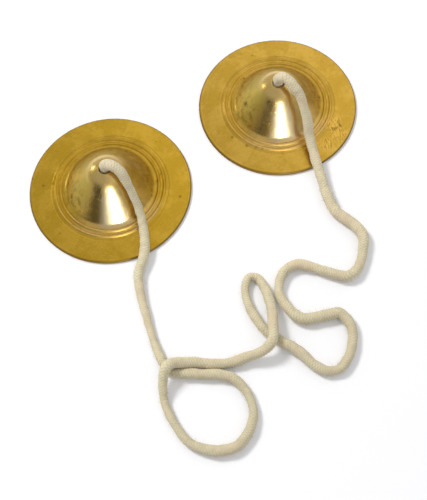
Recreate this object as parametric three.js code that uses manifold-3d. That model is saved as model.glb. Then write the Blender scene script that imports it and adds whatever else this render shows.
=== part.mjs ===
// A pair of manjira: two small brass hand cymbals tied together by one soft cotton cord.
// Each cymbal is a cast and turned bell of revolution: a domed boss with a hole for the cord, a concave
// flare, two raised beads and a broad flange with a flat striking face. The cord passes down through
// each hole and ends inside the bell in an overhand knot that is too big for the hole.
// Millimetres, +Z up. The origin lies on the floor midway between the two holes. Both cymbals lie with
// the striking face down, the left one towards -X, and the cord lies in loose curves on the -Y side.
import * as THREE from "three";
import { mergeVertices } from "three/addons/utils/BufferGeometryUtils.js";
import Module from "manifold-3d";

// Driving dimensions of a cymbal
const CYMBAL_DIAMETER = 62;
const RIM_THICKNESS = 1.2;
const FLANGE_SLOPE = 4.8; // degrees that the flange's top rises towards the dome
const DOME_HEIGHT = 17.5; // top of the dome above the striking face
const CROWN_RADIUS = 10; // rounded top of the dome
const DOME_SIDE_SLOPE = 57.3; // degrees, steepness of the dome's straight side
const FLARE_RADIUS = 6; // hollow curve between the dome's side and the flange
const DOME_WALL = 1.7;
const RIM_TOP_ROUND = 0.5;
const RIM_UNDER_ROUND = 0.25;
const HOLE_ROUND = 0.4; // both edges of the hole are rounded, so that they don't cut the cord

// Turned decoration round the foot of the dome
const BEAD_COUNT = 2;
const BEAD_WIDTH = 1.6;
const BEAD_HEIGHT = 0.4;
const BEAD_PITCH = 2.1;
const GROOVE_WIDTH = 0.6;
const GROOVE_DEPTH = 0.2;
const GROOVE_FROM_BEAD = 0.5; // land between the outer bead and the fine groove

// Driving dimensions of the cord and its knots
const CORD_DIAMETER = 4;
const HOLE_CLEARANCE = 0.6; // between the cord and the hole, all round
const KNOTTED_STRAND_DIAMETER = 2.8; // the cord pulled tight in a knot
const STRAND_GAP = 0.55; // between the strands that stand side by side in the middle of a knot
const KNOT_ROLL_RADIUS = 2; // how far a knot's strand winds from the ring that it rolls about
const LEAD_IN_HEIGHT = 1.8; // where the strand from the hole has reached its place beside the others
const LEAD_IN_SIDESTEP = 0.3;
const KNOT_TAIL = 3;
const KNOT_SETTING = { left: 25, right: 160 }; // degrees that each knot is turned about its hole

// Where the pieces lie
const RIM_TO_RIM = 12; // between the two rims, along the line through both holes
const SEAT_GAP = 0.3; // between pieces that touch
const FLOOR_LIFT = 0.1;
const CROSSING_GAP = 0.7; // between two strands where the cord lies over itself

// Fineness of the facets
const LATHE_SEGMENTS = 52;
const SMALL_ROUND_STEPS = 2;
const ROUND_STEPS = 3;
const BEAD_STEPS = 4;
const CURVE_STEPS = 5;
const CROWN_STEPS = 6;
const CORD_SIDES = 10;
const STEPS_BETWEEN_POINTS = 2;
const KNOT_SIDES = 8;
const KNOT_STEPS = 66;

const degrees = THREE.MathUtils.degToRad;
const rimRadius = CYMBAL_DIAMETER / 2;
const cymbalSpacing = CYMBAL_DIAMETER + RIM_TO_RIM;
const cordRadius = CORD_DIAMETER / 2;
const holeRadius = cordRadius + HOLE_CLEARANCE;

// Materials
const brass = () => new THREE.MeshStandardMaterial({ color: 0xb8922e, roughness: 0.3, metalness: 1 });
const cotton = () => new THREE.MeshStandardMaterial({ color: 0xd8ccb0, roughness: 0.95, metalness: 0 });

// Cymbal profile
// The crown is an arc about crownCentre on the axis and the flare an arc about flareCentre. The dome's
// straight side touches both arcs, and the flare runs smoothly into the sloping top of the flange.

const flangeTop = (radius) => RIM_THICKNESS + (rimRadius - radius) * Math.tan(degrees(FLANGE_SLOPE));
const crownCentre = new THREE.Vector2(0, DOME_HEIGHT - CROWN_RADIUS);
const flareCentre = findFlareCentre();
const flareFoot = flareCentre.x - FLARE_RADIUS * Math.sin(degrees(FLANGE_SLOPE));

// The point that lies one flare radius off the dome's side and one flare radius off the flange's top.
function findFlareCentre() {
  const side = degrees(DOME_SIDE_SLOPE);
  const flange = degrees(FLANGE_SLOPE);
  const fromSide = CROWN_RADIUS + FLARE_RADIUS + crownCentre.y * Math.cos(side);
  const fromFlange = FLARE_RADIUS + rimRadius * Math.sin(flange) + RIM_THICKNESS * Math.cos(flange);
  const determinant = Math.sin(side - flange);
  return new THREE.Vector2(
    (fromSide * Math.cos(flange) - fromFlange * Math.cos(side)) / determinant,
    (fromFlange * Math.sin(side) - fromSide * Math.sin(flange)) / determinant,
  );
}

// Points on an arc in the profile's plane, with angles in radians from the radial direction.
function arc(centre, radius, from, to, steps) {
  return Array.from({ length: steps + 1 }, (_, step) => {
    const angle = from + ((to - from) * step) / steps;
    return new THREE.Vector2(centre.x + radius * Math.cos(angle), centre.y + radius * Math.sin(angle));
  });
}

// Steepness of the straight line that touches a crown arc from outside and a flare arc from inside.
function sideSlope(crownRadius, flareRadius) {
  const between = flareCentre.clone().sub(crownCentre);
  const rise = Math.atan2(between.y, between.x);
  return Math.asin((crownRadius + flareRadius) / between.length()) - rise;
}

function rimEdge() {
  const under = new THREE.Vector2(rimRadius - RIM_UNDER_ROUND, RIM_UNDER_ROUND);
  const top = new THREE.Vector2(rimRadius - RIM_TOP_ROUND, RIM_THICKNESS - RIM_TOP_ROUND);
  const lastTurn = Math.PI / 2 - degrees(FLANGE_SLOPE);
  return [
    ...arc(under, RIM_UNDER_ROUND, -Math.PI / 2, 0, SMALL_ROUND_STEPS),
    ...arc(top, RIM_TOP_ROUND, 0, lastTurn, ROUND_STEPS),
  ];
}

// The fine groove and the beads, from the outside in, up to the foot of the flare.
function turnedRings() {
  const outerBead = flareFoot + BEAD_WIDTH / 2 + (BEAD_COUNT - 1) * BEAD_PITCH;
  const groove = outerBead + BEAD_WIDTH / 2 + GROOVE_FROM_BEAD + GROOVE_WIDTH / 2;
  const points = [-1, 0, 1].map((side) => {
    const radius = groove - (side * GROOVE_WIDTH) / 2;
    return new THREE.Vector2(radius, flangeTop(radius) - (side === 0 ? GROOVE_DEPTH : 0));
  });
  for (let ring = 0; ring < BEAD_COUNT; ring++) {
    const centre = outerBead - ring * BEAD_PITCH;
    for (const point of arc(new THREE.Vector2(), 1, 0, Math.PI, BEAD_STEPS)) {
      const radius = centre + (point.x * BEAD_WIDTH) / 2;
      points.push(new THREE.Vector2(radius, flangeTop(radius) + point.y * BEAD_HEIGHT));
    }
  }
  return points;
}

// The flare and the crown, seen from outside, up to the rounded edge of the hole.
function domeOutside() {
  const slope = sideSlope(CROWN_RADIUS, FLARE_RADIUS);
  const foot = -Math.PI / 2 - degrees(FLANGE_SLOPE);
  const top = Math.acos((holeRadius + HOLE_ROUND) / CROWN_RADIUS);
  return [
    ...arc(flareCentre, FLARE_RADIUS, foot, -Math.PI / 2 - slope, CURVE_STEPS).slice(1),
    ...arc(crownCentre, CROWN_RADIUS, Math.PI / 2 - slope, top, CROWN_STEPS),
  ];
}

function holeWall() {
  const insideRadius = CROWN_RADIUS - DOME_WALL;
  const mouth = crownCentre.y + Math.sqrt(CROWN_RADIUS ** 2 - (holeRadius + HOLE_ROUND) ** 2);
  const foot = crownCentre.y + Math.sqrt(insideRadius ** 2 - (holeRadius + HOLE_ROUND) ** 2);
  const upper = new THREE.Vector2(holeRadius + HOLE_ROUND, mouth - HOLE_ROUND);
  const lower = new THREE.Vector2(holeRadius + HOLE_ROUND, foot + HOLE_ROUND);
  return [
    ...arc(upper, HOLE_ROUND, Math.PI / 2, Math.PI, ROUND_STEPS).slice(1),
    ...arc(lower, HOLE_ROUND, Math.PI, (3 * Math.PI) / 2, SMALL_ROUND_STEPS),
  ];
}

// The inside of the bell keeps the dome's wall. Its flare has the outer flare's centre and runs into
// the flat striking face, so that the metal grows thicker towards the flange.
function domeInside() {
  const crown = CROWN_RADIUS - DOME_WALL;
  const flare = flareCentre.y;
  const slope = sideSlope(crown, flare);
  const top = Math.acos((holeRadius + HOLE_ROUND) / crown);
  return [
    ...arc(crownCentre, crown, top, Math.PI / 2 - slope, CURVE_STEPS).slice(1),
    ...arc(flareCentre, flare, -Math.PI / 2 - slope, -Math.PI / 2, CURVE_STEPS),
  ];
}

function cymbalGeometry() {
  const profile = [...rimEdge(), ...turnedRings(), ...domeOutside(), ...holeWall(), ...domeInside()];
  profile.push(profile[0].clone());
  return new THREE.LatheGeometry(profile, LATHE_SEGMENTS).rotateX(Math.PI / 2);
}

// Tubes

// A smooth run through chosen points. Its steps fall on the points and at equal shares between them.
class Route extends THREE.CatmullRomCurve3 {
  getUtoTmapping(share) {
    return share;
  }
}

function tube(route, radius, sides, steps) {
  const corners = Array.from({ length: sides }, (_, side) => {
    const angle = (2 * Math.PI * side) / sides;
    return new THREE.Vector2(radius * Math.cos(angle), radius * Math.sin(angle));
  });
  const section = new THREE.Shape(corners);
  return new THREE.ExtrudeGeometry(section, { extrudePath: route, steps, bevelEnabled: false });
}

// Least free space between two stretches of one tube that are clearly apart along it.
function leastSelfGap(route, diameter) {
  const samples = 1200;
  const clearlyApart = 2.2 * diameter;
  const points = route.getPoints(samples);
  const along = [0];
  for (let next = 1; next < points.length; next++) {
    along.push(along[next - 1] + points[next].distanceTo(points[next - 1]));
  }
  let least = Infinity;
  for (let near = 0; near < points.length; near++) {
    for (let far = near + 1; far < points.length; far++) {
      if (along[far] - along[near] < clearlyApart) continue;
      least = Math.min(least, points[near].distanceTo(points[far]));
    }
  }
  return least - diameter;
}

// Joining

const manifold = await Module();
manifold.setup();

function toSolid(geometry) {
  const bare = geometry.clone();
  bare.deleteAttribute("normal");
  bare.deleteAttribute("uv");
  const merged = mergeVertices(bare, 1e-4);
  const mesh = new manifold.Mesh({
    numProp: 3,
    vertProperties: merged.attributes.position.array,
    triVerts: new Uint32Array(merged.index.array),
  });
  return new manifold.Manifold(mesh);
}

function toGeometry(solid) {
  const mesh = solid.getMesh();
  const geometry = new THREE.BufferGeometry();
  geometry.setAttribute("position", new THREE.BufferAttribute(mesh.vertProperties, 3));
  geometry.setIndex(new THREE.BufferAttribute(mesh.triVerts, 1));
  geometry.computeVertexNormals();
  return geometry;
}

// Knots
// The strand turns one and a half times about the hole's axis while it rolls two and a quarter times
// about a ring round that axis, which ties a true overhand knot. Three inner strands stand side by side
// in the middle, and the knot is drawn up until it rests against the inside of the bell.

const strandRadius = KNOTTED_STRAND_DIAMETER / 2;
const innerRadius = (KNOTTED_STRAND_DIAMETER + STRAND_GAP) / Math.sqrt(3);
const ringRadius = innerRadius + KNOT_ROLL_RADIUS;
const knotHeight = crownCentre.y + knotRise();
const neckTop = DOME_HEIGHT;
const neckFoot = DOME_HEIGHT - DOME_WALL - HOLE_CLEARANCE;
const neckTaper = cordRadius - strandRadius;

// How far the knot's ring lies above the crown's centre, where the knot meets the crown or the side.
function knotRise() {
  const crown = CROWN_RADIUS - DOME_WALL;
  const reach = crown - SEAT_GAP - strandRadius - KNOT_ROLL_RADIUS;
  const slope = sideSlope(crown, flareCentre.y);
  if (ringRadius < reach * Math.sin(slope)) return Math.sqrt(reach ** 2 - ringRadius ** 2);
  return (reach - ringRadius * Math.sin(slope)) / Math.cos(slope);
}

function knotRoute() {
  const points = [
    new THREE.Vector3(0, 0, neckFoot + neckTaper),
    new THREE.Vector3(0, 0, neckFoot - neckTaper),
    new THREE.Vector3(innerRadius, -LEAD_IN_SIDESTEP, knotHeight + LEAD_IN_HEIGHT),
  ];
  const rolls = 2.25;
  const turns = 1.5;
  const intervals = 27;
  for (let step = 0; step <= intervals; step++) {
    const rolled = (2 * Math.PI * rolls * step) / intervals;
    const turned = (2 * Math.PI * turns * step) / intervals;
    const radius = ringRadius - KNOT_ROLL_RADIUS * Math.cos(rolled);
    const height = knotHeight - KNOT_ROLL_RADIUS * Math.sin(rolled);
    points.push(new THREE.Vector3(radius * Math.cos(turned), radius * Math.sin(turned), height));
  }
  const [before, last] = points.slice(-2);
  const onward = last.clone().sub(before).normalize();
  points.push(last.clone().addScaledVector(onward, KNOT_TAIL));
  return new THREE.CatmullRomCurve3(points);
}

// The neck is the full cord in the hole, drawn in to the strand that enters the knot.
function neckGeometry() {
  const profile = [
    new THREE.Vector2(0, neckFoot - neckTaper),
    new THREE.Vector2(strandRadius, neckFoot - neckTaper),
    new THREE.Vector2(cordRadius, neckFoot + neckTaper),
    new THREE.Vector2(cordRadius, neckTop),
    new THREE.Vector2(0, neckTop),
  ];
  return new THREE.LatheGeometry(profile, 3 * KNOT_SIDES).rotateX(Math.PI / 2);
}

function knotGeometry() {
  const route = knotRoute();
  console.log("knot: least gap to itself", leastSelfGap(route, KNOTTED_STRAND_DIAMETER).toFixed(2), "mm");
  return toGeometry(toSolid(neckGeometry()).add(toSolid(tube(route, strandRadius, KNOT_SIDES, KNOT_STEPS))));
}

// Cord
// The points of the route are chosen by eye. Beside a cymbal, x and y are measured from the hole. On
// the crown, heights are from the dome's top, and elsewhere from where the lying cord's centre is.

const lying = cordRadius + FLOOR_LIFT;
const over = CORD_DIAMETER + CROSSING_GAP;

const LEFT_CROWN = [
  [0, 0, SEAT_GAP],
  [0.05, -0.1, 1.6],
  [1.1, -1.5, 3.6],
  [3.3, -4.8, 3.2],
  [4.6, -13, -6],
];
const LEFT_FLANGE = [
  [3.5, -20.5, 3.4],
  [-0.5, -30, 1.7],
];
const FLOOR = [
  [-45, -40, 0.2],
  [-52, -74.5, 0],
  [-44, -81, 0],
  [-33.5, -89, 0],
  [-32.5, -103, 0],
  [-44, -110, 0],
  [-57.5, -101.5, 0],
  [-58.5, -85, 0.5],
  [-51.8, -74.7, over],
  [-43.5, -76.3, 1.9],
  [-33, -82.2, 0],
  [-15.5, -84.8, over],
  [-6.5, -60.5, 0],
  [-9.5, -58, 0],
  [-13, -60, 0],
  [-15.8, -75, 0],
  [-9.5, -90.2, 0],
  [-2.5, -103.7, 0],
  [8, -100, 0],
  [12, -91.2, 0],
  [8.8, -86, 0],
  [-2, -81.3, 0],
  [-2.5, -68, 0],
  [7, -62.5, 0],
  [22, -76.3, 0],
  [34.6, -66, 0],
  [31.7, -51, 0.4],
];
const RIGHT_FLANGE = [[0.5, -24.5, 3.5]];
const RIGHT_CROWN = [
  [2, -15.5, -4],
  [3, -9.5, 1.5],
  [1.2, -2.8, 4.8],
  [0.05, -0.1, 2],
  [0, 0, SEAT_GAP],
];

function cordRoute() {
  const from = (x, z) => (point) => new THREE.Vector3(point[0] + x, point[1], point[2] + z);
  const hole = cymbalSpacing / 2;
  return new Route([
    ...LEFT_CROWN.map(from(-hole, DOME_HEIGHT)),
    ...LEFT_FLANGE.map(from(-hole, lying)),
    ...FLOOR.map(from(0, lying)),
    ...RIGHT_FLANGE.map(from(hole, lying)),
    ...RIGHT_CROWN.map(from(hole, DOME_HEIGHT)),
  ]);
}

function cordGeometry() {
  const route = cordRoute();
  const steps = STEPS_BETWEEN_POINTS * (route.points.length - 1);
  console.log("cord: length", route.getLength().toFixed(1), "mm");
  console.log("cord: least gap to itself", leastSelfGap(route, CORD_DIAMETER).toFixed(2), "mm");
  return tube(route, cordRadius, CORD_SIDES, steps);
}

// Assembly

function namedMesh(name, geometry, material) {
  const mesh = new THREE.Mesh(geometry, material);
  mesh.name = name;
  return mesh;
}

const manjira = new THREE.Group();
const cymbal = cymbalGeometry();
const knot = knotGeometry();

for (const [side, direction] of [["left", -1], ["right", 1]]) {
  const station = new THREE.Group();
  station.position.x = (direction * cymbalSpacing) / 2;
  const knotMesh = namedMesh(side + "_knot", knot, cotton());
  knotMesh.rotation.z = degrees(KNOT_SETTING[side]);
  station.add(namedMesh(side + "_cymbal", cymbal, brass()), knotMesh);
  manjira.add(station);
}
manjira.add(namedMesh("cord", cordGeometry(), cotton()));

export default manjira;
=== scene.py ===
# A pair of manjira: two small turned brass hand cymbals tied together by one soft cotton cord.
# Both cymbals lie on their striking faces, the left one towards -X. The cord lies in loose curves on the
# -Y side, and each end of it is knotted in a bell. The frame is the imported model's: metres, +Z up.
# Sizes are written in mm, from an axis or along the cord, and MM makes metres of them.
import math

import bpy
import numpy as np
from mathutils import Matrix, Vector, noise


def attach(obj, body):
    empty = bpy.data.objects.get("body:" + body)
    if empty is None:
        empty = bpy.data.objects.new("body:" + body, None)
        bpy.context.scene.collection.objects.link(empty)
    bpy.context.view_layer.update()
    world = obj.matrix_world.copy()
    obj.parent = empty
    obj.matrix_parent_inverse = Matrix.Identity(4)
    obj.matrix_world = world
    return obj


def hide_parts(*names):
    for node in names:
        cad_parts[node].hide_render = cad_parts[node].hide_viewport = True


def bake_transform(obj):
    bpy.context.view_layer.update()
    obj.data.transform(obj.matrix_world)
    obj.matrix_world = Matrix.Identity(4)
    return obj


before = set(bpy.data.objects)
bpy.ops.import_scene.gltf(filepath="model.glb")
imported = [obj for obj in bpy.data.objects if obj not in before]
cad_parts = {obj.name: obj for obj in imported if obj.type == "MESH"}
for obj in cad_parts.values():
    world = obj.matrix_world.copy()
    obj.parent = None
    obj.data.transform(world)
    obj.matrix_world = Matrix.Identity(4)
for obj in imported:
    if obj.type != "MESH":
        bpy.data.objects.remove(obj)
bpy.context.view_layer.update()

MM = 0.001
TURN = 2 * math.pi
HOLE = {"left": -37 * MM, "right": 37 * MM}  # x of each cymbal's axis, in metres
MIDDLE = Vector((0, -0.04, 0))  # of the whole object, on the floor

# Rings of the cymbal by their distance from its axis
FLARE_FOOT = 17.9  # where the dome's flare runs out into the flange
BEADS = 18.75, 20.85  # their middles
GROOVE = 22.4
RIM = 31.0


def add_object(name, data):
    made = bpy.data.objects.new(name, data)
    bpy.context.scene.collection.objects.link(made)
    return made


# Camera

def place_camera():
    """The photo's view: down by 66 degrees, turned 25 degrees, fitted to the two rims."""
    camera = add_object("camera", bpy.data.cameras.new("camera"))
    camera.data.lens, camera.data.sensor_width = 68.9, 36
    right, up = Vector((0.8733, -0.4864, -0.0293)), Vector((0.4555, 0.7935, 0.4037))
    facing = Matrix((right, up, right.cross(up))).transposed().to_4x4()
    camera.matrix_world = Matrix.Translation((-0.07669, -0.17177, 0.32481)) @ facing
    bpy.context.scene.camera = camera


place_camera()


# Materials

class Wire:
    """An output in a node tree. Arithmetic on wires adds Math nodes."""

    def __init__(self, finish, socket):
        self.finish, self.socket = finish, socket

    def maths(self, operation, *others):
        return self.finish.node("ShaderNodeMath", self, *others, settings={"operation": operation})

    def __add__(self, other): return self.maths("ADD", other)
    def __sub__(self, other): return self.maths("SUBTRACT", other)
    def __mul__(self, other): return self.maths("MULTIPLY", other)
    def __truediv__(self, other): return self.maths("DIVIDE", other)
    def __pow__(self, other): return self.maths("POWER", other)
    def __gt__(self, other): return self.maths("GREATER_THAN", other)
    def __abs__(self): return self.maths("ABSOLUTE")
    __radd__, __rmul__ = __add__, __mul__

    def __rsub__(self, other):
        return self.finish.node("ShaderNodeMath", other, self, settings={"operation": "SUBTRACT"})

    def rise(self, start, end):
        """0 before start and 1 after end, with a smooth step between."""
        smooth = {"interpolation_type": "SMOOTHSTEP"}
        return self.finish.node("ShaderNodeMapRange", self, start, end, 0, 1, settings=smooth)

    def fall(self, start, end):
        """1 before start and 0 after end, with a smooth step between."""
        return 1 - self.rise(start, end)


def most(*wires):
    """The greatest of some wires, which is 0 if there are none."""
    found = 0
    for wire in wires:
        found = wire.maths("MAXIMUM", found)
    return found


class Finish:
    """A node tree being built: a material's, or the world's."""

    def __init__(self, owner):
        owner.use_nodes = True
        self.owner, self.tree = owner, owner.node_tree
        self.tree.nodes.clear()

    def node(self, kind, *values, settings=None, out=0, **named):
        """Adds a node, sets it up, and fills or links its sockets in order or by name."""
        made = self.tree.nodes.new(kind)
        for name, value in (settings or {}).items():
            setattr(made, name, value)
        by_name = ((name.replace("_", " "), value) for name, value in named.items())
        for key, value in (*enumerate(values), *by_name):
            if isinstance(value, Wire):
                self.tree.links.new(value.socket, made.inputs[key])
            else:
                made.inputs[key].default_value = value
        return Wire(self, made.outputs[out]) if made.outputs else made

    def mix(self, share, first, second):
        """One colour fading into another."""
        made = self.tree.nodes.new("ShaderNodeMix")
        made.data_type = "RGBA"
        for socket, value in ((0, share), (6, first), (7, second)):  # the node's sockets for colours
            if isinstance(value, Wire):
                self.tree.links.new(value.socket, made.inputs[socket])
            else:
                made.inputs[socket].default_value = (*value, 1) if isinstance(value, tuple) else value
        return Wire(self, made.outputs[2])

    def coats(self, colour, *over):
        """A colour under several coats, each with the share that it covers and its own colour."""
        for share, coat in over:
            colour = self.mix(share, colour, coat)
        return colour

    def ramp(self, place, stops):
        """Greys by their places along a ramp."""
        made = self.node("ShaderNodeValToRGB", place)
        elements = made.socket.node.color_ramp.elements
        while len(elements) < len(stops):
            elements.new(1)
        for element, (position, grey) in zip(elements, stops):
            element.position = position
            element.color = (grey, grey, grey, 1)
        return made

    def parts(self, vector):
        """The x, y and z of a vector."""
        split = self.node("ShaderNodeSeparateXYZ", vector)
        return [Wire(self, output) for output in split.socket.node.outputs]

    def cloud(self, vector, scale, detail=3, roughness=0.5):
        """Noise from 0 to 1 in space."""
        return self.node(
            "ShaderNodeTexNoise", Vector=vector, Scale=scale, Detail=detail, Roughness=roughness
        )

    def close(self, shader, kind="Material"):
        self.node("ShaderNodeOutput" + kind, shader)
        return self.owner


# Each cymbal's own metal: its gold, deeper gold in patches, dry haze over the dome, and how strong the
# soft dents in the dome are
METAL = {
    "left": {
        "gold": (0.715, 0.435, 0.040), "deep": (0.61, 0.365, 0.022), "haze": (0.66, 0.48, 0.15),
        "dents": 0.9,
    },
    "right": {
        "gold": (0.765, 0.47, 0.070), "deep": (0.66, 0.395, 0.042), "haze": (0.68, 0.49, 0.16),
        "dents": 2.0,
    },
}
SMEAR = (0.50, 0.28, 0.02)  # brownish, from fingers
DULL_LIT_BACK, DULL_SHADED_SIDE = (0.53, 0.40, 0.075), (0.43, 0.26, 0.032)  # dull tarnish of the dome, painted lighter towards +Y and darker towards +X as reflected light and shade
TARNISH = (0.27, 0.15, 0.018)  # brown mottles round the dome's foot, and old scratches
HIGHLIGHT_PAINT = (0.88, 0.81, 0.58)  # painted highlight: a pale stripe down the dome's -Y side, where the window lamp is mirrored
POLISHED_AND_LIT = (0.95, 0.66, 0.20)  # the crests of the beads: polish, with a painted highlight where they face -Y
SCRATCHED = (1.0, 0.60, 0.10)  # bright, in the worn patches
GRIME_AND_SHADE = (0.15, 0.085, 0.012)  # grime in pits and grooves, and painted shade on the rim's edge

# Marks of use, each with x and y from the axis and its size: pits, and worn patches of short scratches
PITS = {
    "left": [
        (16.7, -6.8, 0.9), (19.1, -4.7, 0.6), (21.3, -16.7, 0.8), (12.0, -11.5, 0.7),
        (-18.3, 12.4, 0.9), (-14.8, 2.0, 0.9), (-22.0, 13.5, 1.0), (24.5, 9.0, 0.4),
        (-25.0, -8.0, 0.5), (5.0, 26.5, 0.4),
    ],
    "right": [
        (15.5, -6.1, 1.0), (-19.8, -10.3, 1.2), (-17.2, -12.9, 0.9), (-15.6, -14.8, 0.8),
        (-13.1, 10.0, 0.8), (-5.7, 16.5, 0.9), (16.0, -20.7, 1.1), (-23.0, -4.3, 1.0),
        (-12.5, 3.5, 1.2), (3.0, 25.0, 0.5),
    ],
}
WORN = {"left": [], "right": [(13.5, -21.5, 8.5), (8.5, -23.5, 5)]}
RAGGED = 2.2  # how far noise moves a mark's edge, as a share of the mark's size
GRIMY_RINGS = FLARE_FOOT, BEADS[0] + 1.05, BEADS[1] + 0.95, GROOVE


def brass(side):
    """Turned brass, with rings about the cymbal's axis and its own marks of use. What rise and fall are
    given is mm for a distance, and a level from 0 to 1 for noise."""
    metal = METAL[side]
    finish = Finish(bpy.data.materials.new("brass_" + side))
    place = finish.node("ShaderNodeTexCoord", out="Object")
    to_axis = (-HOLE[side] / MM, 0, 0)
    mm = finish.node("ShaderNodeMapping", Vector=place, Location=to_axis, Scale=(1 / MM,) * 3)
    x, y, _ = finish.parts(mm)
    radius = (x * x + y * y) ** 0.5

    def towards(east, north):
        """1 on the side of the axis that a direction points to, and -1 on the far side."""
        return (east * x + north * y) / radius

    def spots(marks, inner, noise_at_edge):
        """1 at each mark, fading out from a share of its size to its ragged edge."""
        found = []
        for px, py, size in marks:
            away = ((x - px) * (x - px) + (y - py) * (y - py)) ** 0.5
            found.append((away + RAGGED * size * (noise_at_edge - 0.5)).fall(inner * size, size))
        return most(*found)

    def scratches(angle, length, width, amount):
        """Fine straight lines that run at an angle to X."""
        along = finish.node(
            "ShaderNodeMapping", settings={"vector_type": "TEXTURE"},
            Vector=mm, Rotation=(0, 0, angle), Scale=(length, width, 9),
        )
        return finish.cloud(along, 1, 1).rise(amount, amount + 0.05)

    # Unevenness of the metal, from wide to fine
    patches = finish.cloud(mm, 0.12, 2)
    smears = finish.cloud(mm, 0.35, 5, 0.65)
    mottling = finish.cloud(mm, 0.55, 4, 0.6)
    dents = finish.cloud(mm, 0.6, 3, 0.55)
    speckle = finish.cloud(mm, 1.6, 3, 0.7)
    wavering = radius + 0.25 * finish.cloud(mm, 0.2, 1)
    turning = finish.node(
        "ShaderNodeTexNoise", settings={"noise_dimensions": "1D"},
        W=wavering, Scale=3.2, Detail=3, Roughness=0.7,
    )

    # Zones of the cymbal, by distance from the axis and by side
    dome = radius.fall(15.5, 19)
    facing = towards(-0.26, -0.97).rise(0.4, 0.8)
    rubbed = facing * dome  # polished where the cord runs
    # painted highlight: a pale stripe down the dome, on the side that mirrors the window lamp
    painted_highlight = towards(-0.33, -0.94).rise(0.88, 0.99) * dome * radius.rise(6, 11)
    polish = most(facing * radius.fall(21.3, 21.8), 0.6 * radius.fall(5.5, 9))
    # A dull tarnish over the dome, left off the side facing the window lamp, which also carries painted
    # shade and light
    dulled_and_shaded = radius.fall(13, 19.5) * (1 - rubbed) * (0.65 + 0.35 * smears.rise(0.3, 0.6))
    dulled_and_shaded = dulled_and_shaded * radius.rise(5, 8.5)
    from_bead = abs(radius - BEADS[0]).maths("MINIMUM", abs(radius - BEADS[1]))
    # painted highlight on the bead crests, only on the side facing -Y, over their polish
    lit_crests = from_bead.fall(0.05, 0.35) * towards(-0.6, -0.8).rise(0, 0.7) * smears.rise(0.3, 0.6)
    # the rim's outer edge, which is painted dark as shade
    rim = radius.rise(RIM - 0.65, RIM - 0.15)

    # Marks of use
    pits = spots(PITS[side], 0, speckle) * 0.8
    worn = spots(WORN[side], 0.3, patches)
    strokes = scratches(1.25, 2.4, 0.3, 0.55) * worn
    hairlines = most(scratches(0.5, 9, 0.10, 0.70), scratches(-0.9, 7, 0.09, 0.71))
    mottles = dome * (1 - 0.7 * rubbed) * radius.rise(8, 14) * mottling.rise(0.48, 0.62)
    pores = finish.node("ShaderNodeTexVoronoi", Vector=mm, Scale=0.45).fall(0.04, 0.13)
    pores = pores * (speckle > 0.52)
    grooves = most(*(abs(radius - ring).fall(0.05, 0.5) for ring in GRIMY_RINGS))
    grime = most(grooves * (0.04 + 0.14 * patches.rise(0.4, 0.6)), pits, pores * 0.6)

    blotches = patches + 0.4 * (turning - 0.5) + 0.5 * (dents - 0.5)
    # painted reflection: the dome's dull colour is lighter towards +Y and darker towards +X
    dull = finish.mix(towards(0.8, -0.6).rise(-0.5, 0.6), DULL_LIT_BACK, DULL_SHADED_SIDE)
    colour = finish.coats(
        metal["gold"],
        (blotches.rise(0.38, 0.62), metal["deep"]),
        (smears.rise(0.52, 0.7) * 0.35, SMEAR),
        (radius.fall(4, 16) * (0.2 + 0.6 * smears.rise(0.3, 0.65)), metal["haze"]),
        (dulled_and_shaded, dull),
        (mottles * 0.55, TARNISH),
        (painted_highlight * 0.55, HIGHLIGHT_PAINT),
        (lit_crests * 0.8, POLISHED_AND_LIT),
        (speckle.rise(0.3, 0.6) * worn * 0.85, SCRATCHED),
        (strokes * 0.85, TARNISH),
        (grime * 0.75, GRIME_AND_SHADE),
        # painted shade on the rim's outer edge
        (rim * 0.85, GRIME_AND_SHADE),
    )
    roughness = (
        0.25 + 0.22 * dulled_and_shaded * (1 + (x / radius).rise(-0.2, 0.8)) - 0.02 * rubbed
        + 0.12 * (smears - 0.5) + 0.12 * hairlines + 0.08 * worn + 0.12 * from_bead.fall(0.5, 0.8)
        + 0.3 * most(grime, rim)
    )
    height = (
        turning * 0.4 + speckle * 0.12 + smears * 0.2 + dents * dome * metal["dents"]
        - 1.6 * grime - 0.3 * hairlines - 0.8 * strokes
    )
    normal = finish.node("ShaderNodeBump", Strength=0.6, Distance=0.03 * MM, Height=height)
    return finish.close(finish.node(
        "ShaderNodeBsdfPrincipled", Base_Color=colour, Metallic=1.0, Roughness=roughness,
        Normal=normal, Coat_Weight=0.1 + 0.9 * polish, Coat_Roughness=0.24, Coat_IOR=1.75,
    ))


COTTON, COTTON_HOLLOW_SHADE = (0.72, 0.645, 0.43), (0.48, 0.405, 0.25)  # the yarns, and painted shade between them and in the creases of bends
COTTON_STAIN = (0.66, 0.50, 0.33)
COTTON_SOILED, COTTON_GREY = (0.46, 0.41, 0.26), (0.46, 0.42, 0.27)
COTTON_FIBRE = (0.82, 0.76, 0.60)
GREYING_Y = -60 * MM, -95 * MM  # y between which the cord turns greyer, towards -Y


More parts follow.
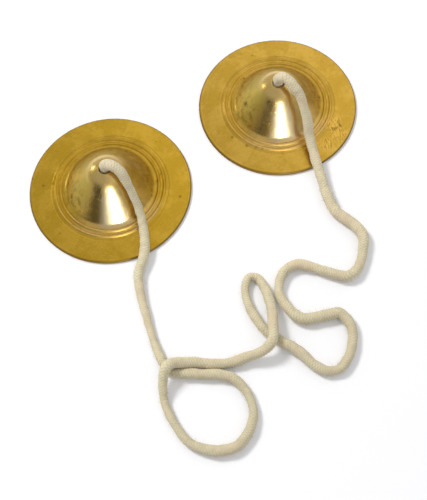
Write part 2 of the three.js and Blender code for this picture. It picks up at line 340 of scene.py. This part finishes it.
def cotton():
    """Soft unbleached cotton: yarn fibres along the braid, and warm painted shade in the hollows between
    the yarns.
    """
    finish = Finish(bpy.data.materials.new("cotton"))
    along = finish.node("ShaderNodeUVMap", settings={"uv_map": "cord"})
    relief = finish.node("ShaderNodeAttribute", settings={"attribute_name": "relief"}, out="Fac")
    place = finish.node("ShaderNodeTexCoord", out="Object")
    _, y, _ = finish.parts(place)
    drawn_out = finish.node("ShaderNodeMapping", Vector=along, Scale=(9, 30, 1))
    fibres = finish.cloud(drawn_out, 1, 4, 0.7)
    stains = finish.cloud(place, 1 / (9 * MM), 3)
    soiling = finish.cloud(place, 1 / (2.2 * MM), 4, 0.6)
    colour = finish.coats(
        COTTON_HOLLOW_SHADE,
        # painted shade in the hollows between the yarns, where the relief is low
        (relief.rise(0, 0.75), COTTON),
        (stains.rise(0.42, 0.66) * 0.5, COTTON_STAIN),
        (soiling.rise(0.45, 0.65) * 0.4, COTTON_SOILED),
        (y.rise(*GREYING_Y) * 0.35, COTTON_GREY),
        (fibres.rise(0.45, 0.8) * 0.35, COTTON_FIBRE),
    )
    normal = finish.node("ShaderNodeBump", Strength=0.7, Distance=0.15 * MM, Height=fibres)
    return finish.close(finish.node(
        "ShaderNodeBsdfPrincipled", Base_Color=colour, Roughness=0.95, Normal=normal,
        Sheen_Weight=0.25, Sheen_Roughness=0.5,
    ))


# Cord

CORD_RADIUS, CORD_SKIN = 1.77, 1.85  # to the hollows between the yarns, and where loose fibres start
YARN_RELIEF, YARN_PITCH = 0.16, 0.95
YARNS = 5  # that wind each way round the cord
BRAID_TWIST = 140  # along the cord while the whole braid turns once
CREASE_PITCH, CREASE_DEPTH = 1.45, 0.22  # of the folds on the inside of a bend
RING_SPACING = 0.2
LYING = 2.1  # height of the cord's centre on the floor
TRACED_RISE, SAGGED_RISE = 4.7, 4.1  # of a crossing above that: as traced, and as the cord sags
SAG_MIDDLE, SAG_REACH, SAG_FADE = 240, 200, 10  # the stretch that sags, by distance along the cord
FUZZ_FIBRES, FUZZ_CLEAR = 1500, 34  # how many, and how far from each hole they start

# The route's points in metres, from the left hole to the right one
CORD_POINTS = [
    (-0.037, 0, 0.0178), (-0.03695, -0.0001, 0.0191), (-0.0359, -0.0015, 0.0211),
    (-0.0337, -0.0048, 0.0207), (-0.0324, -0.013, 0.0115), (-0.0335, -0.0205, 0.0055),
    (-0.0375, -0.03, 0.0038), (-0.045, -0.04, 0.0023), (-0.052, -0.0745, 0.0021),
    (-0.044, -0.081, 0.0021), (-0.0335, -0.089, 0.0021), (-0.0325, -0.103, 0.0021),
    (-0.044, -0.11, 0.0021), (-0.0575, -0.1015, 0.0021), (-0.0585, -0.085, 0.0026),
    (-0.0518, -0.0747, 0.0068), (-0.0435, -0.0763, 0.004), (-0.033, -0.0822, 0.0021),
    (-0.0155, -0.0848, 0.0068), (-0.0065, -0.0605, 0.0021), (-0.0095, -0.058, 0.0021),
    (-0.013, -0.06, 0.0021), (-0.0153, -0.0667, 0.0021), (-0.0158, -0.075, 0.0021),
    (-0.0122, -0.0848, 0.0021), (-0.0085, -0.0915, 0.0021), (-0.0064, -0.0983, 0.0021),
    (-0.0036, -0.1024, 0.0021), (0.0005, -0.104, 0.0021), (0.005, -0.1022, 0.0021),
    (0.0095, -0.0980, 0.0021), (0.0125, -0.0925, 0.0021), (0.0113, -0.0868, 0.0021),
    (0.0060, -0.0848, 0.0021), (-0.0012, -0.0818, 0.0021), (-0.0034, -0.076, 0.0021),
    (-0.0027, -0.0684, 0.0021), (0.007, -0.0625, 0.0021), (0.022, -0.0763, 0.0021),
    (0.0346, -0.066, 0.0021), (0.0317, -0.051, 0.0025), (0.0375, -0.0245, 0.0056),
    (0.039, -0.0155, 0.0135), (0.04, -0.0095, 0.019), (0.0382, -0.0028, 0.0223),
    (0.03705, -0.0001, 0.0195), (0.037, 0, 0.0178),
]
SEAM = (-0.0134, -0.0825, 0.0021)  # where the two halves of the cord meet, under a crossing
# How far the cord kinks aside, by distance along it
SWAY = [
    (44, 0), (50, 0.5), (58, 0.2), (68, -0.5), (84, -0.6), (98, -0.1), (106, -0.3), (116, -0.2),
    (121, 0.3), (128, 1.0), (136, 0.4), (148, -0.2), (164, 0.75), (176, 0.1), (190, 0), (202, 0.5),
    (212, 0.4), (218, -0.2), (224, 0.2), (236, -0.6), (244, 0), (256, -0.5), (264, -0.9),
    (270, -0.4), (278, -0.6), (284, 0), (362, 0), (372, -0.7), (377, 0.2), (386, -0.4), (394, -0.7),
    (401, 0.2), (412, -0.2), (422, 0.8), (432, -0.2), (444, 0.1), (455, 0), (462, 0.2), (469, 1.1),
    (475, 0.4), (481, 0),
]
# Where it is drawn thin or bunched up, as a share of its radius
FULLNESS = [
    (0, 1.04), (8, 1.06), (17, 0.85), (30, 0.84), (42, 1), (52, 0.95), (60, 0.82), (76, 0.7),
    (84, 0.85), (95, 1.02), (112, 0.97), (122, 0.8), (132, 0.93), (150, 1.02), (165, 0.8),
    (178, 0.77), (188, 1.04), (222, 0.98), (240, 1.03), (268, 0.76), (276, 0.9), (292, 1.06),
    (320, 0.9), (328, 0.9), (338, 1.14), (352, 1.12), (368, 0.85), (378, 1.07), (386, 0.88),
    (397, 1.1), (407, 0.92), (419, 1.16), (436, 1.07), (446, 1), (462, 0.95), (468, 1.02),
    (473, 0.9), (480, 1.12), (484, 1.0), (488, 1.06), (500, 1.06),
]


def distances(places):
    """How far along a run each of its places lies."""
    return np.concatenate([[0], np.cumsum(np.linalg.norm(np.diff(places, axis=0), axis=1))])


def unit(vectors):
    return vectors / np.linalg.norm(vectors, axis=-1, keepdims=True)


def smooth_run(points, spacing):
    """Evenly spaced places on a smooth run through the points."""
    points = np.array(points, float)
    ends = np.vstack([2 * points[0] - points[1], points, 2 * points[-1] - points[-2]])
    share = np.linspace(0, 1, 120, endpoint=False)[:, None]
    places = []
    for before, start, end, after in zip(ends, ends[1:], ends[2:], ends[3:]):
        past, now, coming = (
            math.sqrt(math.dist(a, b)) for a, b in ((before, start), (start, end), (end, after))
        )
        out = ((start - before) / past - (end - before) / (past + now) + (end - start) / now) * now
        into = ((end - start) / now - (after - start) / (now + coming) + (after - end) / coming) * now
        places.append(
            start + out * share + (3 * (end - start) - 2 * out - into) * share**2
            + (2 * (start - end) + out + into) * share**3
        )
    places = np.vstack([*places, points[-1:]])
    along = distances(places)
    even = np.linspace(0, along[-1], round(along[-1] / spacing) + 1)
    return np.column_stack([np.interp(even, along, places[:, axis]) for axis in range(3)])


def settled(values, along):
    """A list of values by distance along a run, filled in and rounded off at its corners."""
    filled = np.interp(along, *zip(*values))
    window = np.hanning(27)
    return np.convolve(np.pad(filled, len(window) // 2, "edge"), window / window.sum(), "valid")


def wander(along, step, seed):
    """Smooth random values from -1 to 1 along a run, with a new one at each step."""
    knots = np.random.default_rng(seed).uniform(-1, 1, int(along.max() / step) + 3)
    cell, share = np.divmod(along / step, 1)
    cell, share = cell.astype(int), share * share * (3 - 2 * share)
    return knots[cell] * (1 - share) + knots[cell + 1] * share


def braid(along, turned):
    """Height from 0 to 1 of a plain braid with nearly crosswise yarns."""
    one, other = along / YARN_PITCH + YARNS * turned, along / YARN_PITCH - YARNS * turned
    across, length = one % 1 * 2 - 1, other % 1 * 2 - 1
    under = (np.floor(one) + np.floor(other)) % 2 == 1
    across, length = np.where(under, length, across), np.where(under, across, length)
    return (1 - across**2) ** 0.7 * (1 - length**6)


def carried_side(tangent):
    """A direction across each ring of a run, carried along it without twisting."""
    side = np.empty_like(tangent)
    carried = np.cross(tangent[0], (0.3, 1, 0.2))
    for ring, ahead in enumerate(tangent):
        side[ring] = carried = unit(carried - ahead * (carried @ ahead))
    return side


def braided_tube(name, route, radius, sides, start=0, relief=YARN_RELIEF):
    """A braided cord round a route in metres, with a radius in mm at each ring, closed at both ends."""
    tangent = unit(np.gradient(route, axis=0))
    side = carried_side(tangent)
    other = np.cross(tangent, side)
    along = start + distances(route) / MM
    bend = np.gradient(tangent, axis=0) / np.gradient(along)[:, None]
    turned = np.arange(sides) / sides
    cos, sin = np.cos(TURN * turned)[:, None], np.sin(TURN * turned)[:, None]
    spoke = side[:, None] * cos + other[:, None] * sin
    inward = np.einsum("rsk,rk->rs", spoke, bend)  # above 0 on the inside of a bend

    def wandering(step, seed):
        return wander(along, step, seed)[:, None]

    down = along[:, None]
    height = braid(down + 0.5 * wandering(6, 3), turned + down / BRAID_TWIST)
    height *= 0.8 + 0.2 * wandering(2, 9)
    pinch = np.clip(inward * 3.5, 0, 1)
    crease = pinch * (0.5 + 0.5 * np.cos(TURN * (down / CREASE_PITCH + wandering(3, 5))))
    swell = 0.03 * wandering(11, 1) + 0.05 * wandering(2.6, 2)
    lumps = 0.08 * wandering(2.6, 6) * np.cos(TURN * turned + 3 * wandering(6, 7))
    reach = radius[:, None] * (1 + swell + lumps) + relief * height - CREASE_DEPTH * crease
    points = route[:, None] + spoke * (reach * MM)[:, :, None]
    points[:, :, 2] = np.maximum(points[:, :, 2], 0.04 * MM)  # not through the floor
    # the relief is lowered in the creases, so the cotton paints shade into them
    return closed_tube(name, route, points, along, height * (1 - 0.6 * crease))


def closed_tube(name, route, points, along, relief):
    """The mesh of a tube from its rings of points, with UVs in mm along and turns round."""
    count, sides = points.shape[:2]
    ring, step = np.meshgrid(np.arange(count - 1), np.arange(sides), indexing="ij")
    near, far = ring * sides, (ring + 1) * sides
    onward = (step + 1) % sides
    quads = np.stack([near + step, near + onward, far + onward, far + step], -1).reshape(-1, 4)
    step_round, onward_round = step[0], onward[0]
    last_ring, first, last = (count - 1) * sides, count * sides, count * sides + 1
    caps = np.vstack([
        np.column_stack([np.full(sides, first), onward_round, step_round]),
        np.column_stack([np.full(sides, last), last_ring + step_round, last_ring + onward_round]),
    ])
    mesh = bpy.data.meshes.new(name)
    vertices = np.vstack([points.reshape(-1, 3), route[0], route[-1]])
    mesh.from_pydata(vertices.tolist(), [], quads.tolist() + caps.tolist())
    uv = mesh.uv_layers.new(name="cord")
    low, high = along[ring], along[ring + 1]
    left, right = step / sides, (step + 1) / sides
    corners = np.stack([low, left, low, right, high, right, high, left], -1).reshape(-1, 2)
    ends = np.repeat([[along[0], 0.5], [along[-1], 0.5]], 3 * sides, axis=0)
    uv.data.foreach_set("uv", np.vstack([corners, ends]).ravel().astype(np.float32))
    shade = mesh.attributes.new("relief", "FLOAT", "POINT")
    shade.data.foreach_set("value", np.concatenate([relief.ravel(), [1, 1]]).astype(np.float32))
    mesh.shade_smooth()
    return add_object(name, mesh)


def fibres(name, roots, headings, longest, thickness, seed):
    """Loose cotton fibres in mm: curling, three-sided, and thinner towards the tip."""
    rng = np.random.default_rng(seed)
    headings = unit(headings)
    length = longest * rng.uniform(0.3, 1, len(roots))[:, None]
    curl = rng.normal(0, 0.45, roots.shape)
    across = unit(np.cross(headings, rng.normal(0, 1, roots.shape)))
    above = np.cross(headings, across)
    sides, joints = 3, 6
    rings = []
    for share in np.linspace(0, 1, joints):
        middle = roots + headings * length * share + curl * length * share**2
        for turn in range(sides):
            angle = TURN * turn / sides
            spoke = across * math.cos(angle) + above * math.sin(angle)
            rings.append(middle + spoke * thickness * (1 - 0.7 * share))
    points = np.stack(rings, 1) * MM
    points[:, :, 2] = np.maximum(points[:, :, 2], 0.03 * MM)  # not through the floor
    skin = []
    last = sides * (joints - 1)
    for low in range(0, last, sides):
        for turn in range(sides):
            onward = (turn + 1) % sides
            skin.append((low + turn, low + onward, low + sides + onward, low + sides + turn))
    skin += [(2, 1, 0), (last, last + 1, last + 2)]
    faces = [
        [len(rings) * fibre + corner for corner in face] for fibre in range(len(roots)) for face in skin
    ]
    mesh = bpy.data.meshes.new(name)
    mesh.from_pydata(points.reshape(-1, 3).tolist(), [], faces)
    mesh.shade_smooth()
    return add_object(name, mesh)


def cord_route():
    """The cord's centre line from hole to hole, and how full the cord is at each ring of it."""
    route = smooth_run(CORD_POINTS, RING_SPACING * MM)
    distance = RING_SPACING * np.arange(len(route))
    heading = np.gradient(route[:, :2], axis=0)
    heading /= np.maximum(np.linalg.norm(heading, axis=1), 1e-6)[:, None]  # none where it is upright
    sway = settled(SWAY, distance) * MM
    fullness = settled(FULLNESS, distance)
    route[:, 0] += heading[:, 1] * sway
    route[:, 1] -= heading[:, 0] * sway
    risen = np.clip((route[:, 2] / MM - LYING) / TRACED_RISE, 0, 1)
    sagged = LYING + SAGGED_RISE * risen**1.7
    held = np.clip((np.abs(distance - SAG_MIDDLE) - SAG_REACH) / SAG_FADE, 0, 1)
    route[:, 2] = held * route[:, 2] + (1 - held) * sagged * MM
    on_floor = 1 - np.clip((route[:, 2] / MM - 2.3) / 1.5, 0, 1)
    route[:, 2] += 2 * MM * (fullness - 1) * on_floor  # a thin stretch still touches the floor
    return route, fullness


def grow_fuzz(route, fullness, rng):
    """Loose fibres that stand off the cord, clear of the cymbals' holes."""
    clear = round(FUZZ_CLEAR / RING_SPACING)
    grown = rng.integers(clear, len(route) - clear, FUZZ_FIBRES)
    out = rng.normal(0, 1, (FUZZ_FIBRES, 3))
    run_on = (route[grown + 1] - route[grown - 1]) / MM / (2 * RING_SPACING)
    out = unit(out - run_on * np.sum(out * run_on, axis=1)[:, None])
    roots = route[grown] / MM + out * CORD_SKIN * fullness[grown][:, None]
    headings = out + run_on * rng.normal(0, 0.9, (FUZZ_FIBRES, 1))
    return fibres("cord_fuzz", roots, headings, longest=1.3, thickness=0.035, seed=6)


soft = cotton()
route, fullness = cord_route()
too_high = route[:, 2] > 3.5 * MM  # the strand that crosses over the seam, left out by adding 1
seam = int((np.linalg.norm(route - SEAM, axis=1) + too_high).argmin())

cord_halves = {}
for side, run, start in (("left", route[: seam + 1], 0), ("right", route[seam:], seam)):
    radius = CORD_RADIUS * fullness[start : start + len(run)]
    half = braided_tube("cord_" + side, run, radius, sides=56, start=start * RING_SPACING)
    half.data.materials.append(soft)
    cord_halves[side] = half, run

rng = np.random.default_rng(5)
fuzz = grow_fuzz(route, fullness, rng)
fuzz.data.materials.append(soft)
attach(fuzz, "cord")


# Knots

STRAND_RADIUS = 1.3  # of the same cord, pulled tight
STRAND_SPACING = 0.18
# The neck in the hole is as thick as the cord: the height of its foot, how far up from there it reaches
# its full thickness, and where it ends along the strand
NECK_FOOT, NECK_FADE, NECK_LENGTH = 14.6, 1.4, 5
KNOT_TURNED = {"left": 25, "right": 160}  # degrees about the hole
KNOT_ROLLS, KNOT_LAPS = 2.25, 1.5  # turns about the ring, and turns about the axis
TAIL_FIBRES, TAIL_RADIUS = 160, 1.25


def knot_points():
    """A true overhand knot: the strand turns about the axis while it rolls about a ring."""
    inner, roll, height, steps = 1.934, 2.0, 9.88, 27  # ring's inside, radius of the roll, ring's height
    points = [(0, 0, 17.8), (0, 0, 16.8), (0, 0, 15.8), (0, 0, NECK_FOOT), (inner, -0.3, height + 1.8)]
    for step in range(steps + 1):
        rolled, turned = TURN * KNOT_ROLLS * step / steps, TURN * KNOT_LAPS * step / steps
        radius = inner + roll - roll * math.cos(rolled)
        points.append(
            (radius * math.cos(turned), radius * math.sin(turned), height - roll * math.sin(rolled))
        )
    before, last = Vector(points[-2]), Vector(points[-1])
    points.append(tuple(last + 3 * (last - before).normalized()))
    return points


def knot_run(side):
    """The knot's centre line under its hole, in metres."""
    turned = Matrix.Rotation(math.radians(KNOT_TURNED[side]), 4, "Z")
    placed = Matrix.Translation((HOLE[side], 0, 0)) @ turned
    return smooth_run([placed @ (Vector(point) * MM) for point in knot_points()], STRAND_SPACING * MM)


def tie_knot(side, run):
    along = STRAND_SPACING * np.arange(len(run))
    neck = np.clip((run[:, 2] / MM - NECK_FOOT) / NECK_FADE, 0, 1) * (along < NECK_LENGTH)
    radius = STRAND_RADIUS + (CORD_RADIUS - STRAND_RADIUS) * neck
    return braided_tube(side + "_knot_strand", run, radius, sides=40, relief=0.12)


def fray_tail(side, run, rng):
    """A brush of fibres at the end of the knot's tail."""
    ahead = unit(run[-1] - run[-6])
    spread = rng.normal(0, 1, (TAIL_FIBRES, 3))
    spread = unit(spread - ahead * (spread @ ahead)[:, None])
    spread *= rng.uniform(0, 1, (TAIL_FIBRES, 1)) ** 0.5 * TAIL_RADIUS
    roots, headings = run[-1] / MM - 0.2 * ahead + spread, ahead + 0.28 * spread
    return fibres(side + "_knot_tail", roots, headings, longest=2.2, thickness=0.05, seed=8)


knots = {}
for side in HOLE:
    run = knot_run(side)
    knot = knots[side] = tie_knot(side, run)
    knot.data.materials.append(soft)
    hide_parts(side + "_knot")
    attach(knot, side + "_knot")
    brush = fray_tail(side, run, rng)
    brush.data.materials.append(soft)
    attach(brush, side + "_knot")


# Cymbals

RIM_HEIGHT = 1.2
SLOPE = 4.8  # degrees, of the flange
LIP_SLOPE = 22  # degrees, of the narrow turned lip that falls towards the rim
EDGE_BELOW, EDGE_ABOVE = 0.25, 0.5  # radii of the rim's two edges
GROOVE_WIDTH, GROOVE_DEPTH = 0.6, 0.08
BEAD_HEIGHT, BEAD_HALF, BEAD_FLANK = 0.38, 0.68, 0.46  # half its width, and how much of that is flank
BEAD_WEAR, BEAD_WEAR_HALF = 0.03, 0.14  # the shallow hollow in the crest
FLARE_RADIUS = 2.5
SIDE_SLOPE = 51  # degrees, of the dome's straight side
CROWN, CROWN_Z = 9.57, 7.93  # radius and centre of the dome's round crown
HOLE_RADIUS, HOLE_EDGE = 2.7, 0.4  # at both ends, and the rounding that narrows it inside
WALL_CROWN, WALL_CROWN_Z = 8.3, 7.5  # the crown of the hollow inside
WALL_FLARE = 18.5, 8.28  # centre of the hollow's flare, which ends on the floor
SPIN_STEPS = 240
WAVE, RIPPLE = 9 * MM, 3.5 * MM  # widths of the unevenness of hand work


def arc(x, z, radius, start, end, steps):
    """Points on an arc of the profile, with angles in degrees from the radial direction."""
    angles = [math.radians(start + (end - start) * step / steps) for step in range(steps + 1)]
    return [(x + radius * math.cos(angle), z + radius * math.sin(angle)) for angle in angles]


def flange(radius):
    """Height of the flange's upper side."""
    return RIM_HEIGHT + (RIM - radius) * math.tan(math.radians(SLOPE))


def bead(middle):
    """A turned bead: a crest that is worn a little hollow between two straight flanks."""
    points = []
    for across in np.linspace(0.72, -0.72, 25):  # from just outside one foot to just outside the other
        rise = BEAD_HEIGHT * min(max((BEAD_HALF - abs(across)) / BEAD_FLANK, 0), 1)
        worn = BEAD_WEAR * max(1 - abs(across) / BEAD_WEAR_HALF, 0)
        points.append((middle + across, flange(middle + across) + rise - worn))
    return points


def upper_profile():
    """Radius and height from under the rim over the flange, the beads and the dome to the hole."""
    points = arc(RIM - EDGE_BELOW, EDGE_BELOW, EDGE_BELOW, -90, 0, 4)
    points += arc(RIM - EDGE_ABOVE, RIM_HEIGHT - EDGE_ABOVE, EDGE_ABOVE, 0, 90 - LIP_SLOPE, 8)
    for radius, off in ((30.05, 0.02), (29.85, -0.03), (29.6, -0.01)):  # a faint line inside the lip
        points.append((radius, flange(radius) + off))
    points += [(radius, flange(radius)) for radius in np.linspace(29.3, GROOVE + 0.45, 24)]
    for radius in np.linspace(GROOVE + GROOVE_WIDTH / 2, GROOVE - GROOVE_WIDTH / 2, 9):
        cut = GROOVE_DEPTH * math.cos((radius - GROOVE) / GROOVE_WIDTH * math.pi) ** 2
        points.append((radius, flange(radius) - cut))
    points += bead(BEADS[1]) + bead(BEADS[0])
    slope, tilt = math.radians(SLOPE), math.radians(SIDE_SLOPE)
    flare_x = FLARE_FOOT + FLARE_RADIUS * math.sin(slope)
    flare_z = flange(FLARE_FOOT) + FLARE_RADIUS * math.cos(slope)
    points += arc(flare_x, flare_z, FLARE_RADIUS, -90 - SLOPE, -90 - SIDE_SLOPE, 14)
    low = np.array(points[-1])
    high = np.array((CROWN * math.sin(tilt), CROWN_Z + CROWN * math.cos(tilt)))
    points += [tuple(low + (high - low) * share) for share in np.linspace(0, 1, 15)[1:-1]]
    at_hole = math.degrees(math.acos(HOLE_RADIUS / CROWN))
    return points + arc(0, CROWN_Z, CROWN, 90 - SIDE_SLOPE, at_hole, 26)


def inner_profile():
    """Radius and height from the hole's mouth through the hollow to the flat striking face."""
    mouth = CROWN_Z + math.sqrt(CROWN**2 - HOLE_RADIUS**2)
    below = WALL_CROWN_Z + math.sqrt(WALL_CROWN**2 - HOLE_RADIUS**2)
    points = arc(HOLE_RADIUS, mouth - HOLE_EDGE, HOLE_EDGE, 90, 180, 6)[1:]
    points += arc(HOLE_RADIUS, below + HOLE_EDGE, HOLE_EDGE, 180, 270, 5)
    flare_x, flare_z = WALL_FLARE
    apart = math.hypot(flare_x, flare_z - WALL_CROWN_Z)
    tilt = math.asin((WALL_CROWN + flare_z) / apart) - math.atan2(flare_z - WALL_CROWN_Z, flare_x)
    wall_slope = math.degrees(tilt)  # of the straight wall that touches both arcs
    at_hole = math.degrees(math.acos(HOLE_RADIUS / WALL_CROWN))
    points += arc(0, WALL_CROWN_Z, WALL_CROWN, at_hole, 90 - wall_slope, 16)[1:]
    points += arc(flare_x, flare_z, flare_z, -90 - wall_slope, -90, 24)
    return points + [(radius, 0) for radius in np.linspace(flare_x, RIM - EDGE_BELOW, 14)[1:-1]]


def turned_cymbal(side, seed):
    """A cymbal turned from its profile, then given the slight unevenness of hand work."""
    points = upper_profile() + inner_profile()
    count = len(points)
    vertices = [(HOLE[side] + radius * MM, 0, height * MM) for radius, height in points]
    mesh = bpy.data.meshes.new(side + "_bell")
    mesh.from_pydata(vertices, [(i, (i + 1) % count) for i in range(count)], [])
    piece = add_object(side + "_bell", mesh)
    bpy.ops.object.select_all(action="DESELECT")
    bpy.context.view_layer.objects.active = piece
    piece.select_set(True)
    bpy.ops.object.mode_set(mode="EDIT")
    bpy.ops.mesh.select_all(action="SELECT")
    bpy.ops.mesh.spin(steps=SPIN_STEPS, angle=TURN, center=(HOLE[side], 0, 0), axis=(0, 0, 1))
    bpy.ops.mesh.select_all(action="SELECT")
    bpy.ops.mesh.remove_doubles(threshold=0.00001)
    bpy.ops.mesh.normals_make_consistent(inside=False)
    bpy.ops.object.mode_set(mode="OBJECT")
    for vertex in mesh.vertices:
        x, y, z = vertex.co.x - HOLE[side], vertex.co.y, vertex.co.z
        wave = noise.noise(Vector((x, y, z)) / WAVE + Vector((seed, 0, 0)))
        ripple = noise.noise(Vector((x, y, z)) / RIPPLE + Vector((0, seed, 0)))
        off_floor = min(max((z / MM - 0.6) / 0.6, 0), 1)  # the striking face stays flat
        on_dome = min(max((z / MM - 4) / 3, 0), 1)
        push = off_floor * on_dome * (0.02 * ripple + 0.06 * wave) * MM / math.hypot(x, y)
        vertex.co.z += off_floor * (0.04 * wave + 0.008 * ripple) * MM
        vertex.co.x += x * push
        vertex.co.y += y * push
    mesh.shade_smooth()
    return piece


for side, seed in (("left", 3.7), ("right", 11.2)):
    bell = turned_cymbal(side, seed)
    bell.data.materials.append(brass(side))
    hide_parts(side + "_cymbal")
    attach(bell, side + "_cymbal")

# Each half of the cord is baked where it lies, and the model's cord is hidden. The ends of a line
# through the hole's mouth, which falls by 45 degrees away from the direction in which the cord leaves,
# are worked out but not used.
LEAVES = {"left": (0.35, -0.9367), "right": (0.3, -0.9539)}
BEND_START = 0.85 * MM, 20.35 * MM  # how far ahead of the axis, and how high
BEND_END = -1.06 * MM, 18.44 * MM

for side, (half, run) in cord_halves.items():
    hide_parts("cord")
    hole, leave = HOLE[side], LEAVES[side]
    start, end = (
        (hole + ahead * leave[0], ahead * leave[1], height) for ahead, height in (BEND_START, BEND_END)
    )
    side + "_knot"
    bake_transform(half)
    path = run if side == "left" else run[::-1]


# Floor and light

# Brightness of the room round the horizon, by share of a turn: -X at 0 and 1, -Y at 0.25, +X at 0.5
ROOM = [
    (0.00, 0.28), (0.03, 0.10), (0.05, 0.03), (0.10, 0.04), (0.14, 0.50), (0.17, 1.80), (0.20, 1.80),
    (0.26, 0.50), (0.31, 0.34), (0.39, 0.46), (0.46, 0.55), (0.53, 0.55), (0.61, 0.66), (0.70, 0.57),
    (0.75, 0.62), (0.80, 0.66), (0.83, 0.70), (0.86, 0.60), (0.92, 0.54), (0.99, 0.32),
]
CEILING_DARK, CEILING_BRIGHT = (0.54, 0.54, 0.56), (0.92, 0.92, 0.93)
WHITE = (1, 1, 1, 1)


def lay_floor():
    """Pale paper that glows a little, so that it comes out white around soft shadows."""
    finish = Finish(bpy.data.materials.new("floor"))
    rays = "Is Camera Ray", "Is Glossy Ray", "Is Transmission Ray"
    shown = most(*(finish.node("ShaderNodeLightPath", out=ray) for ray in rays))
    paper = finish.node("ShaderNodeBsdfDiffuse", (0.8, 0.8, 0.81, 1))
    glow = finish.node("ShaderNodeEmission", WHITE, shown * 0.09)
    material = finish.close(finish.node("ShaderNodeAddShader", paper, glow))
    bpy.ops.object.select_all(action="DESELECT")
    bpy.ops.mesh.primitive_circle_add(vertices=96, radius=0.6, fill_type="NGON", location=MIDDLE)
    floor = bpy.context.object
    floor.name = "floor"
    floor.data.materials.append(material)


def light_world():
    """A room with a bright ceiling and uneven walls for the brass to mirror, seen as white itself."""
    world = bpy.data.worlds.new("studio")
    bpy.context.scene.world = world
    finish = Finish(world)
    direction = finish.node("ShaderNodeTexCoord", out="Generated")
    x, y, z = finish.parts(direction)
    horizon = finish.ramp(y.maths("ARCTAN2", x) / TURN + 0.5, ROOM)
    uneven = x + 0.5 * (finish.cloud(direction, 2.2, 2) - 0.5)
    ceiling = finish.mix(uneven.rise(-0.25, 0.55), CEILING_DARK, CEILING_BRIGHT)
    light = finish.node("ShaderNodeBackground", finish.mix(z.rise(0.15, 0.75), horizon, ceiling))
    white = finish.node("ShaderNodeBackground", WHITE)
    camera = finish.node("ShaderNodeLightPath", out="Is Camera Ray")
    finish.close(finish.node("ShaderNodeMixShader", camera, light, white), "World")


def hang_lamp(name, azimuth, elevation, distance, size, power, mirrored=False):
    """A soft lamp that looks at the object, from an azimuth measured from +X and an elevation.
    It either lights what is dull, or only shows as a mirrored window in the brass."""
    data = bpy.data.lights.new(name, "AREA")
    data.shape = "RECTANGLE"
    data.size, data.size_y = size
    data.energy = power
    lamp = add_object(name, data)
    turned, raised = math.radians(azimuth), math.radians(elevation)
    level = math.cos(raised)
    direction = Vector((math.cos(turned) * level, math.sin(turned) * level, math.sin(raised)))
    lamp.location = direction * distance + MIDDLE
    lamp.rotation_euler = direction.to_track_quat("Z", "Y").to_euler()
    lamp.visible_camera, lamp.visible_diffuse, lamp.visible_glossy = False, not mirrored, mirrored


lay_floor()
light_world()
hang_lamp("key", azimuth=118, elevation=50, distance=1.2, size=(0.28, 0.28), power=10)
hang_lamp(
    "window", azimuth=-108, elevation=13, distance=0.53, size=(0.065, 0.17), power=1.6, mirrored=True
)
hang_lamp(
    "glint", azimuth=118, elevation=18, distance=0.8, size=(0.13, 0.13), power=0.25, mirrored=True
)
bpy.context.scene.view_settings.view_transform = "Standard"
